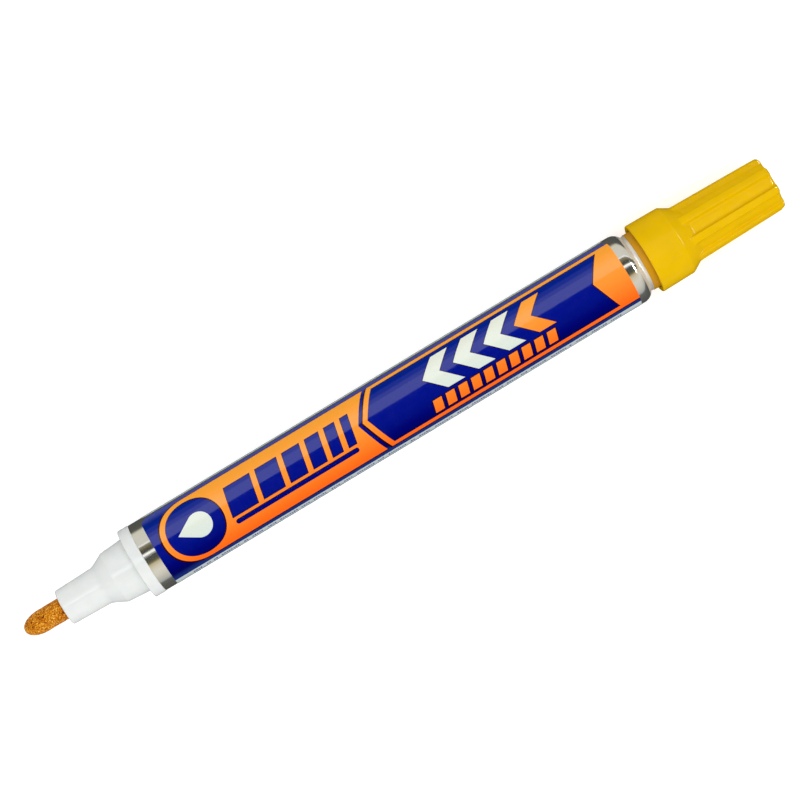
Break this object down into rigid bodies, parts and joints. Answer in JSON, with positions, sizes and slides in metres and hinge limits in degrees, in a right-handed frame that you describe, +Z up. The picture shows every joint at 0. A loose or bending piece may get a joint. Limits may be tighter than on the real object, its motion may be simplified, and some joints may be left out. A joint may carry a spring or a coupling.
{
  "type": "paint marker",
  "caption": "Valve-action paint marker with a bullet nib, white nib holder, aluminium barrel in a wrap label and a fluted yellow cap posted on its tail.",
  "frame": {"origin": "on the surface that the pen lies on, under the middle of its length", "axes": "+X along the pen from the nib towards the cap, +Z up, label artwork's middle facing +Z"},
  "size_m": [0.1672, 0.0146, 0.0146],
  "materials": {
    "nib_fibre": "pressed fibre, stained amber",
    "white_plastic": "moulded, semi-gloss",
    "yellow_plastic": "moulded, gloss",
    "natural_plastic": "unpigmented, satin",
    "printed_label": "printed film, gloss",
    "bare_aluminium": "drawn, bright",
    "spring_steel": "bright",
    "gasket_rubber": "moulded"
  },
  "bodies": {
    "barrel": {"barrel": "bare_aluminium", "barrel_label": "printed_label", "front_section": "white_plastic", "front_gasket": "gasket_rubber", "valve_seat": "natural_plastic", "spring_cage": "natural_plastic", "valve_spring": "spring_steel", "tail_plug": "yellow_plastic"},
    "cap": {"cap_shell": "yellow_plastic", "cap_inner_seal": "natural_plastic"},
    "nib": {"nib": "nib_fibre"},
    "valve_stem": {"valve_stem": "natural_plastic", "valve_seal": "gasket_rubber"},
    "mixing_ball": {"mixing_ball": "spring_steel"}
  },
  "joints": [
    {"name": "cap_pull", "type": "slide", "parent": "barrel", "child": "cap", "axis": [1, 0, 0], "range_m": [0, 0.02]},
    {"name": "nib_press", "type": "slide", "parent": "barrel", "child": "nib", "axis": [1, 0, 0], "range_m": [0, 0.002]},
    {"name": "valve_lift", "type": "slide", "parent": "barrel", "child": "valve_stem", "axis": [1, 0, 0], "range_m": [0, 0.002], "stiffness_N_per_m": 1350, "springref_m": -0.002, "deforming": ["valve_spring"]},
    {"name": "ball_roll", "type": "slide", "parent": "barrel", "child": "mixing_ball", "axis": [1, 0, 0], "range_m": [-0.0218, 0.0598]}
  ],
  "couplings": [
    {"joint": "valve_lift", "follows": "nib_press", "ratio": 1}
  ]
}
